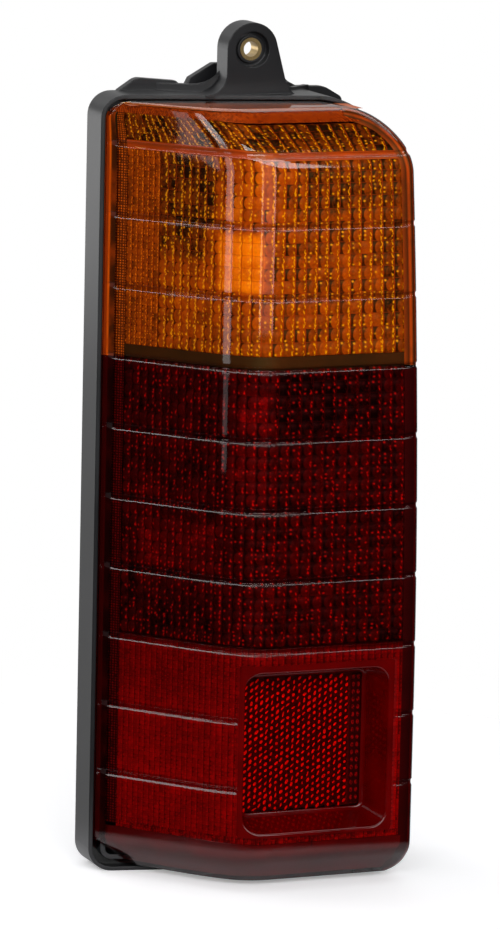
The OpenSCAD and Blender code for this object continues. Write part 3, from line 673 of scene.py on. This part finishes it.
def red_painted_light(s, t):
    g = 0.42 + 0 * s
    g = g + 0.6 * patch(s, t, 70, 86, 196, 215, 6) + 0.4 * patch(s, t, 66, 88, 168, 192, 6)
    g = g + 0.42 * patch(s, t, 20, 62, 136, 157, 5) + 0.35 * patch(s, t, 84, 118, 124, 131, 4)
    g = g + 0.12 * patch(s, t, 88, 132, 168, 190, 8) + 0.1 * patch(s, t, 88, 128, 138, 156, 8)
    return g - 0.34 * patch(s, t, 88, 136, 197, 222, 4) - 0.15 * patch(s, t, 0, 60, 108, 130, 5)


# painted light: brighter towards the bottom
def low_painted_light(s, t):
    return 0.74 + 0.26 * smooth((92 - t) / 24) + 0.0 * s


def sheet(name, t_edges, s_edges, rise, material, painted_light, nu=5, nt_=4, flat_rows=(), rim=RIM):
    """One patch of pillows: t_edges and s_edges are the borders of its cells."""
    t, ot, it, rt = cells(t_edges, nt_)
    s, os_, is_, rs = cells(s_edges, nu)
    S, T = np.meshgrid(s, t)
    p = surface(u_at(S), T, wide=True)
    n = grid_normals(p)
    wide_s = np.diff(s_edges)[is_]
    tall = np.diff(t_edges)[it]
    h = rise * (1 - (os_ ** 2)[None, :] * np.minimum(wide_s / 5.4, 1)[None, :]
                - (ot ** 2)[:, None] * np.minimum(tall / 5.4, 1)[:, None])
    h[np.isin(it, flat_rows)] = 0
    p = p + n * (h - SHEET_IN - rise * 0.6)[..., None]
    RS, RT = np.meshgrid(rs, rt)
    lean = np.clip((S - FLAT - ARC / 2) / (ARC / 2), -1, 1)
    # painted light and shade over the cells, with a little painted shade on the plain rows at the grooves
    gl = painted_light(S, T)
    if len(flat_rows):
        gl = gl - 0.15 * np.isin(it, flat_rows)[:, None]
    return clip_sheet(name, p, material, {"cell_u": RS, "cell_v": RT, "painted_light": gl, "lean": lean}, rim, 1.5)


def set_fields(ob, fields):
    """One number a point for each name, which the material reads."""
    for key, value in fields.items():
        at = ob.data.attributes.new(key, "FLOAT", "POINT")
        at.data.foreach_set("value", np.ascontiguousarray(value.reshape(-1), dtype=np.float32))


def clip_sheet(name, p, material, fields, rim=1.0, top=None):
    """A sheet kept inside the lens's edges, without what lies over the recess or past the top."""
    limit = right_edge(p[..., 2], True, rim)
    over = p[..., 0] > limit
    p[..., 0] = np.where(over, limit, p[..., 0])
    p[..., 0] = np.maximum(p[..., 0], left_edge(p[..., 2]) + 0.3)
    top = rim if top is None else top
    gone = over[:-1, :-1] & over[1:, 1:] & over[:-1, 1:] & over[1:, :-1]
    gone = gone | (p[1:, 1:, 2] > LENS_HI - top)
    c = (p[:-1, :-1] + p[1:, 1:]) / 2
    hole = ((c[..., 0] > REC[0] - 1.0) & (c[..., 0] < REC[1] + 1.0)
            & (c[..., 2] > REC[2] - 1.0) & (c[..., 2] < REC[3] + 1.0))
    rows_, cols_ = p.shape[:2]
    faces = quads(rows_, cols_, ~(gone | hole))
    used = np.unique(faces)
    new = np.full(rows_ * cols_, -1)
    new[used] = np.arange(len(used))
    ob = mesh_object(name, p.reshape(-1, 3)[used], new[faces], material)
    set_fields(ob, {key: value.reshape(-1)[used] for key, value in fields.items()})
    return ob


def column_edges(first, last, side_pitch=4.1, front_pitch=5.3):
    out = [first]
    while out[-1] < last - 2:
        k = float(smooth((out[-1] - FLAT) / (ARC * 0.6)))
        out.append(out[-1] + side_pitch + (front_pitch - side_pitch) * k)
    return np.array(out)


def row_edges(lo, hi, per_band=5, gap=3.6):
    """Cell borders from lo to hi, with a plain row at each groove. Returns them and the plain rows."""
    edges, flats = [lo], []
    marks = [g for g in GROOVES if lo < g < hi]
    for g in marks + [None]:
        top = g - gap / 2 if g is not None else hi
        n = max(1, round((top - edges[-1]) / ((30 - gap) / per_band)))
        edges += list(np.linspace(edges[-1], top, n + 1)[1:])
        if g is not None:
            flats.append(len(edges) - 1)
            edges.append(g + gap / 2)
    return np.array(edges), flats


DOTS = (6.4, 10.7)                      # the dot columns, by distance from the left edge
BAND = (JOINT_Z + 1.2, JOINT_Z + 5.4)   # the brown band above the joint
PLAIN_BAND = (312.2, 316.2)             # the plain band under the upper slope
FLUTES_T = 330.4                        # where the flutes along the top start
FINE_T = 105.8                          # top of the fine pillows
DOT_ROW = (20.6, 22.0, 23.5)            # the dotted row above the foot
side_cols = column_edges(28.0, TOTAL)
small_cols = np.linspace(DOTS[1], 28.0, 7)
full_cols = column_edges(DOTS[1], TOTAL)
amber_rows, amber_flats = row_edges(BAND[1], PLAIN_BAND[0])
amber_small, small_flats = row_edges(BAND[1], PLAIN_BAND[0], 9)
top_rows = np.linspace(PLAIN_BAND[1], FLUTES_T, 5)
red_rows, red_flats = row_edges(FINE_T, JOINT_Z)
low_rows, low_flats = row_edges(DOT_ROW[2], FINE_T, 14)

pieces = [
    sheet("amber_pillows", amber_rows, side_cols, 0.62, amber_optics, amber_painted_light, flat_rows=amber_flats),
    sheet("amber_small_pillows", amber_small, small_cols, 0.3, amber_fine, amber_painted_light, 4, 3, small_flats),
    sheet("amber_top_pillows", top_rows, full_cols, 0.5, amber_optics, amber_painted_light),
    sheet("red_pillows", red_rows, full_cols, 0.62, red_optics, red_painted_light, flat_rows=red_flats),
    sheet("red_fine_pillows", low_rows, np.arange(DOTS[1], TOTAL, 2.9), 0.3, red_fine, low_painted_light, 3, 2,
          low_flats),
    sheet("red_dotted_row", np.array(DOT_ROW), np.arange(DOTS[1], TOTAL, 1.9), 0.2, red_optics,
          lambda s, t: 1.15 + 0 * s, 2, 2),
]


def strip_sheet(name, t_lo, t_hi, s_lo, s_hi, depth, material, rim=1.0, nt_=90, ns=8,
                dot=1.4, tall=1.1, slant=0.0):
    """A smooth band between two lengths and two distances. tall 0 leaves its dots as unbroken lines."""
    s, t = np.linspace(s_lo, s_hi, ns), np.linspace(t_lo, t_hi, nt_)
    S, T = np.meshgrid(s, t)
    p = surface(u_at(S), T, wide=True)
    p = p - grid_normals(p) * depth
    rows_ = T / tall if tall else 0.5 + 0 * T
    fields = {"cell_u": (S - s_lo) / (s_hi - s_lo), "cell_v": rows_,
              "dots": (S + slant * (T - t_lo)) / dot}
    return clip_sheet(name, p, material, fields, rim)


pieces += [
    strip_sheet("amber_frame_left", JOINT_Z, FLUTES_T, 0.0, DOTS[0], 0.5, amber_frame),
    strip_sheet("red_frame_left", 14.0, JOINT_Z, 0.0, DOTS[0], 0.5, red_frame),
    strip_sheet("amber_dot_columns", JOINT_Z, FLUTES_T, DOTS[0] - 2.6, DOTS[1], 2.4, amber_dots, dot=1.433),
    strip_sheet("red_dot_columns", DOT_ROW[1], JOINT_Z, DOTS[0] - 2.6, DOTS[1], 2.4, red_dots, dot=1.433),
    strip_sheet("amber_flutes", FLUTES_T, T_HI - 0.3, 0.0, TOTAL + 1, 1.6, flute_amber, 1.5, 8, 480,
                dot=1.5, tall=0.0, slant=0.7),
    strip_sheet("amber_band", *PLAIN_BAND, DOTS[1], TOTAL, 2.6, amber_plain, RIM, 6, 120),
    strip_sheet("amber_joint_band", JOINT_Z + 0.2, BAND[1], DOTS[1], TOTAL, 2.6, amber_brown, RIM, 6, 120),
    strip_sheet("red_foot", T_LO + 1.2, DOT_ROW[0], 0.2, TOTAL, 2.2, red_plain, 1.0, 20, 120),
]


def rim_sheet(name, lo, hi, material):
    """The band inside the right edge of the lens and its side wall, seen through the skin."""
    t = np.arange(lo, hi + 0.01, 1.2)
    d = np.array([RIM + 0.3, 4.2, 3.0, 1.8, 0.9, 0.6, 1.0, 1.9])
    y = np.array([2.6, 2.0, 1.4, 1.0, 1.4, 3.0, 14.0, 30.0])
    f, z = profile(t)
    x = np.stack([right_edge(z, True, k) for k in d], 1)
    p = np.stack([x, f[:, None] + y[None, :], np.repeat(z[:, None], len(d), 1)], -1)
    p[..., 2] = np.minimum(p[..., 2], LENS_HI - 0.8)
    across = np.linspace(1, 0, len(d))[None, :] + 0 * p[..., 0]
    fields = {"cell_u": across, "cell_v": p[..., 2], "dots": across}
    return clip_sheet(name, p, material, fields, 0.5)


pieces.append(rim_sheet("amber_rim_right", JOINT_Z + 0.1, T_HI - 1, amber_rim))
pieces.append(rim_sheet("red_rim_right", T_LO + 1.2, JOINT_Z, red_rim))


def top_cap():
    """The underside of the lens's flat top, paler than the lens's amber as painted light against the shade there.
    """
    x = np.linspace(6, 100, 40)
    line = surface(np.linspace(0.3, 4, 200), np.full(200, T_HI))
    ahead = 0.7
    front = np.interp(x, line[:, 0], line[:, 1])
    back = WALL_Y - 1.0 - x * SEAM
    y = front - ahead + (back - front + ahead) * np.linspace(0.0, 1, 5)[:, None]
    p = np.stack([np.repeat(x[None, :], 5, 0), y, np.full_like(y, LENS_HI - 1.2)], -1)
    return mesh_object("amber_cap", p.reshape(-1, 3), quads(5, 40), amber_cap)


pieces.append(top_cap())


# The recess: its rim on the curved face, its drafted walls and the panel on its floor

def outline(x0, x1, z0, z1, r, n=8):
    """Points round a rectangle with rounded corners, at most about 4 mm apart."""
    pts = []
    for cx, cz, a0 in ((x1 - r, z0 + r, -90), (x1 - r, z1 - r, 0),
                       (x0 + r, z1 - r, 90), (x0 + r, z0 + r, 180)):
        for k in range(n + 1):
            a = math.radians(a0 + 90 * k / n)
            pts.append((cx + r * math.cos(a), cz + r * math.sin(a)))
    out = []
    for k in range(len(pts)):
        a, b = np.array(pts[k]), np.array(pts[(k + 1) % len(pts)])
        m = max(1, int(np.linalg.norm(b - a) / 4))
        out += [a + (b - a) * q / m for q in range(m)]
    return np.array(out)


face_u = np.linspace(0.6, 4, 400)


def face_y(x, z):
    """Depth of the outer face where x and z are given."""
    line = surface(face_u, np.full_like(face_u, z))
    return np.interp(x, line[:, 0], line[:, 1])


MOUTH_R, FLOOR_R = 1.1, 1.6


def recess_pieces():
    """The walls with a rounded mouth and a rounded foot, and the clear pane that the foot meets."""
    mouth = outline(*REC, REC_R)
    m = len(mouth)
    run = np.roll(mouth, -1, 0) - np.roll(mouth, 1, 0)
    away = np.stack([run[:, 1], -run[:, 0]], 1) / np.linalg.norm(run, axis=1, keepdims=True)
    x0, x1, z0, z1 = REC
    cx, cz = (x0 + x1) / 2, (z0 + z1) / 2

    def on_face(flat, deep=0.0):
        return np.stack([flat[:, 0], [face_y(x, z) + deep for x, z in flat], flat[:, 1]], 1)

    # the flat border, from the square hole in the skin to the mouth
    lip = mouth + away * MOUTH_R
    square = []
    for x, z in mouth:
        dx, dz = x - cx, z - cz
        k = min(((HOLE[1] if dx > 0 else HOLE[0]) - cx) / dx if dx else 1e9,
                ((HOLE[3] if dz > 0 else HOLE[2]) - cz) / dz if dz else 1e9)
        square.append((cx + dx * k, cz + dz * k))
    square = np.array(square)
    rings = [on_face(square + (lip - square) * q) for q in (0, 0.4, 0.8, 1.0)]
    for a in np.radians([18, 36, 54, 72, 90]):
        rings.append(on_face(mouth + away * MOUTH_R * (1 - math.sin(a)), MOUTH_R * (1 - math.cos(a))))
    # the drafted walls and the rounded foot
    top = rings[-1][:, 1]
    narrow = REC_DRAFT * PANEL_Y / REC_D
    foot = PANEL_Y - FLOOR_R
    for q in (0.05, 0.3, 0.65, 1.0):
        flat = mouth - away * narrow * q
        rings.append(np.stack([flat[:, 0], top + (foot - top) * q, flat[:, 1]], 1))
    for a in np.radians([18, 36, 54, 72, 90]):
        flat = mouth - away * (narrow + FLOOR_R * (1 - math.cos(a)))
        rings.append(np.stack([flat[:, 0], np.full(m, foot + FLOOR_R * math.sin(a)), flat[:, 1]], 1))
    faces = [(k * m + j, k * m + (j + 1) % m, (k + 1) * m + (j + 1) % m, (k + 1) * m + j)
             for k in range(len(rings) - 1) for j in range(m)]
    walls = mesh_object("recess_walls", np.concatenate(rings), faces, red_wall)
    pane = mesh_object("reflex_pane", rings[-1], [tuple(range(m))], red_skin, False)
    e = narrow + FLOOR_R
    return walls, pane, (x0 + e, x1 - e, z0 + e, z1 - e)


walls, pane, field = recess_pieces()
PITCH = 2.8             # prism to prism, up a column
PLAIN_RIGHT = 7.6       # the part of the panel at its right without prisms
BACK_Y = 20.2           # depth of the sheet behind the prisms


def prisms():
    """Cube corners in a honeycomb, each of three faces that meet at a point, with a painted glint on one."""
    rng = np.random.default_rng(4)
    x0, x1, z0, z1 = field
    r = PITCH / math.sqrt(3)
    back = PANEL_Y + 1.0
    verts, faces, glints = [], [], []
    for i in range(int((x1 - x0 - PLAIN_RIGHT) / (1.5 * r)) + 1):
        for j in range(int((z1 - z0) / PITCH) + 1):
            cx, cz = x0 + 0.9 + i * 1.5 * r, z0 + 0.9 + (j + 0.5 * (i % 2)) * PITCH
            if cz > z1 - 0.6:
                continue
            base = len(verts)
            verts.append((cx, back + 0.9, cz))
            for k in range(6):
                a = math.radians(60 * k)
                verts.append((cx + r * math.cos(a), back + (0.0 if k % 2 else 0.45), cz + r * math.sin(a)))
            faces += [(base, base + 1 + (k + 1) % 6, base + 1 + k, base + 1 + (k - 1) % 6) for k in (1, 3, 5)]
            long, wide = rng.uniform(0.65, 1.3), rng.uniform(0.3, 0.62)
            tilt = math.radians(rng.normal(58, 12))
            gx, gz = cx + rng.normal(0.15, 0.12), cz + rng.normal(0.2, 0.12)
            base = len(verts)
            for a, b in ((-1, 0), (-0.5, 1), (0.4, 1), (1, 0), (0.4, -1), (-0.5, -1)):
                a, b = a * long, b * wide
                verts.append((gx + a * math.cos(tilt) - b * math.sin(tilt), back - 0.05,
                              gz + a * math.sin(tilt) + b * math.cos(tilt)))
            glints.append(tuple(range(base, base + 6)))
    ob = mesh_object("reflex_prisms", np.array(verts), faces + glints, prism_dark, False)
    ob.data.materials.append(prism_red)
    for k, poly in enumerate(ob.data.polygons):
        poly.material_index = int(k >= len(faces))
    return ob


field_ob = prisms()
panel_back = mesh_object("reflex_back", np.array([(field[i], BACK_Y, field[j]) for i, j in
                                                  ((0, 2), (1, 2), (1, 3), (0, 3))]),
                         [(0, 1, 2, 3)], red_plain, False)


def glint_strip():
    """The stepped edge beside the prisms: a flat sheet painted with a narrow run of glints."""
    x = np.linspace(field[1] - 4.2, field[1] + 0.4, 6)
    z = np.linspace(field[2] + 1, field[3] - 1, 60)
    X, Z = np.meshgrid(x, z)
    verts = np.stack([X, PANEL_Y + 0.8 + 0 * X, Z], -1).reshape(-1, 3)
    ob = mesh_object("reflex_step", verts, quads(len(z), len(x)), glint_dots)
    set_fields(ob, {"cell_u": (X - x[0]) / (x[-1] - x[0]), "cell_v": Z / 3.3, "dots": X / 2.3})
    return ob


step_ob = glint_strip()


def drain_slit():
    """The small slit near the lower edge of the front: a dark quad just behind the face, painted shade for its
    inside.
    """
    x, z = np.array([77.1, 77.7, 77.7, 77.1]), np.array([19.4, 19.4, 22.2, 22.2])
    y = np.array([face_y(a, b) + 0.4 for a, b in zip(x, z)])
    return mesh_object("red_drain_slit", np.stack([x, y, z], 1), [(0, 1, 2, 3)], rubber, False)


slit_ob = drain_slit()

for ob in pieces + [amber, red, walls, pane, field_ob, panel_back, step_ob, slit_ob]:
    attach(ob, "root")
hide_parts("amber_lens")
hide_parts("red_lens")
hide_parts("reflex_panel")


# Floor, light and camera

def studio_floor():
    """A white table whose far parts fade into the white surroundings."""
    n, radii = 96, [0.001, 0.1, 0.2, 0.3, 0.45, 0.6, 0.8]
    verts = [(r * math.cos(2 * math.pi * k / n), r * math.sin(2 * math.pi * k / n), 0)
             for r in radii for k in range(n)]
    faces = [(i * n + k, i * n + (k + 1) % n, (i + 1) * n + (k + 1) % n, (i + 1) * n + k)
             for i in range(len(radii) - 1) for k in range(n)] + [tuple(range(n))]
    me = bpy.data.meshes.new("floor")
    me.from_pydata(verts, [], faces)
    ob = bpy.data.objects.new("floor", me)
    scene.collection.objects.link(ob)
    m, nt, bs, out = new_material("floor")
    g = Graph(nt)
    bs.inputs["Base Color"].default_value = (0.9, 0.9, 0.92, 1)
    bs.inputs["Roughness"].default_value = 0.7
    bs.inputs["Specular IOR Level"].default_value = 0.1
    light = node(nt, "ShaderNodeLightPath")
    bs.inputs["Emission Color"].default_value = (1, 1, 1, 1)
    nt.links.new(g.mul(light.outputs["Is Camera Ray"], 0.3), bs.inputs["Emission Strength"])
    where = node(nt, "ShaderNodeTexCoord")
    far = node(nt, "ShaderNodeVectorMath")
    far.operation = "LENGTH"
    nt.links.new(where.outputs["Object"], far.inputs[0])
    near = g.mul(light.outputs["Is Glossy Ray"], g.step(far.outputs["Value"], 0.085, 0.13))
    fade = g.math("MAXIMUM", g.step(far.outputs["Value"], 0.14, 0.42), near)
    clear = node(nt, "ShaderNodeBsdfTransparent")
    mix = node(nt, "ShaderNodeMixShader")
    nt.links.new(fade, mix.inputs["Fac"])
    nt.links.new(bs.outputs["BSDF"], mix.inputs[1])
    nt.links.new(clear.outputs["BSDF"], mix.inputs[2])
    nt.links.new(mix.outputs["Shader"], out.inputs["Surface"])
    me.materials.append(m)


studio_floor()

world = bpy.data.worlds.new("studio")
scene.world = world
world.use_nodes = True
wn = world.node_tree
bg = wn.nodes["Background"]
co = node(wn, "ShaderNodeTexCoord")
sep = node(wn, "ShaderNodeSeparateXYZ")
wn.links.new(co.outputs["Generated"], sep.inputs["Vector"])
wg = Graph(wn)
behind = wg.add(wg.mul(wg.step(sep.outputs["Y"], 0.0, 0.35), 0.43), 0.004)
overhead = wg.mul(wg.step(sep.outputs["Z"], 0.79, 0.82), wg.step(sep.outputs["Y"], -0.30, -0.20))
overhead = wg.mul(overhead, 3.0)
path = node(wn, "ShaderNodeLightPath")
light_for_rest = node(wn, "ShaderNodeMix")
light_for_rest.data_type = "RGBA"
wn.links.new(path.outputs["Is Glossy Ray"], light_for_rest.inputs["Factor"])
light_for_rest.inputs["A"].default_value = (0.58, 0.58, 0.58, 1)
wn.links.new(wg.add(behind, overhead), light_for_rest.inputs["B"])
seen = node(wn, "ShaderNodeMath")
seen.operation = "MAXIMUM"
wn.links.new(path.outputs["Is Camera Ray"], seen.inputs[0])
wn.links.new(path.outputs["Is Transmission Ray"], seen.inputs[1])
final = node(wn, "ShaderNodeMix")
final.data_type = "RGBA"
wn.links.new(seen.outputs["Value"], final.inputs["Factor"])
wn.links.new(light_for_rest.outputs["Result"], final.inputs["A"])
final.inputs["B"].default_value = (1, 1, 1, 1)
wn.links.new(final.outputs["Result"], bg.inputs["Color"])
bg.inputs["Strength"].default_value = 1.0


def softbox(name, azimuth, distance, z, wide, high, radiance, aim_z=0.18):
    """A soft light at an azimuth from the front, turned to the lamp."""
    a = math.radians(azimuth)
    pos = Vector((-math.sin(a) * distance, -math.cos(a) * distance, z))
    data = bpy.data.lights.new(name, "AREA")
    data.shape = "RECTANGLE"
    data.size, data.size_y = wide, high
    data.energy = radiance * math.pi * wide * high
    ob = bpy.data.objects.new(name, data)
    ob.location = pos
    ob.rotation_euler = (Vector((0, 0, aim_z)) - pos).to_track_quat("-Z", "Y").to_euler()
    ob.visible_camera = False
    scene.collection.objects.link(ob)


def card(name, az_lo, az_hi, z_lo, z_hi, distance, radiance):
    """An upright light that spans two azimuths and two heights, facing the lamp level."""
    wide = 2 * distance * math.tan(math.radians((az_hi - az_lo) / 2))
    middle = (z_lo + z_hi) / 2
    softbox(name, (az_lo + az_hi) / 2, distance, middle, wide, z_hi - z_lo, radiance, middle)


card("side strip", 68.6, 71.8, 0.035, 0.42, 1.2, 2.2)
card("side strip top", 68.2, 72.4, 0.355, 0.42, 1.19, 3.0)
card("side strip foot", 69.2, 71.4, -0.03, 0.035, 1.2, 0.8)
card("side card", 75.0, 82.0, 0.168, 0.30, 1.2, 1.4)
card("corner strip left", 25.5, 28.5, 0.06, 0.55, 1.2, 2.4)
card("corner strip right", 1.5, 4.5, 0.06, 0.55, 1.2, 2.4)
card("corner card", 4.5, 25.5, 0.06, 0.55, 1.2, 0.6)
card("front key", -23.0, 49.0, 0.58, 1.10, 1.5, 6.0)
card("left back card", 106.0, 134.0, -0.10, 0.34, 1.2, 4.0)
card("back card", 146.0, 170.0, 0.10, 0.38, 1.0, 0.95)
softbox("top", 140, 1.3, 1.3, 1.0, 0.8, 2.0)

camera_data = bpy.data.cameras.new("camera")
camera = bpy.data.objects.new("camera", camera_data)
scene.collection.objects.link(camera)
YAW, RISE, ROLL = (math.radians(v) for v in (-22.0, 10.2, 1.3))
DIST = 2.3
FOCAL, TALL, SENSOR = 5526, 929, 36     # focal length and picture height in pixels, sensor in millimetres
n = Vector((math.sin(YAW) * math.cos(RISE), -math.cos(YAW) * math.cos(RISE), math.sin(RISE)))
right = Vector((math.cos(YAW), math.sin(YAW), 0))
up = n.cross(right)
r2 = right * math.cos(ROLL) + up * math.sin(ROLL)
u2 = up * math.cos(ROLL) - right * math.sin(ROLL)
target = Vector((-0.0161, -0.0475, 0.1851))
rot = Matrix((r2, u2, n)).transposed().to_4x4()
camera.matrix_world = Matrix.Translation(target + n * DIST) @ rot
camera_data.sensor_width = SENSOR
camera_data.lens = FOCAL * SENSOR / TALL
camera_data.clip_start, camera_data.clip_end = 0.1, 20
scene.camera = camera
scene.view_settings.view_transform = "Standard"
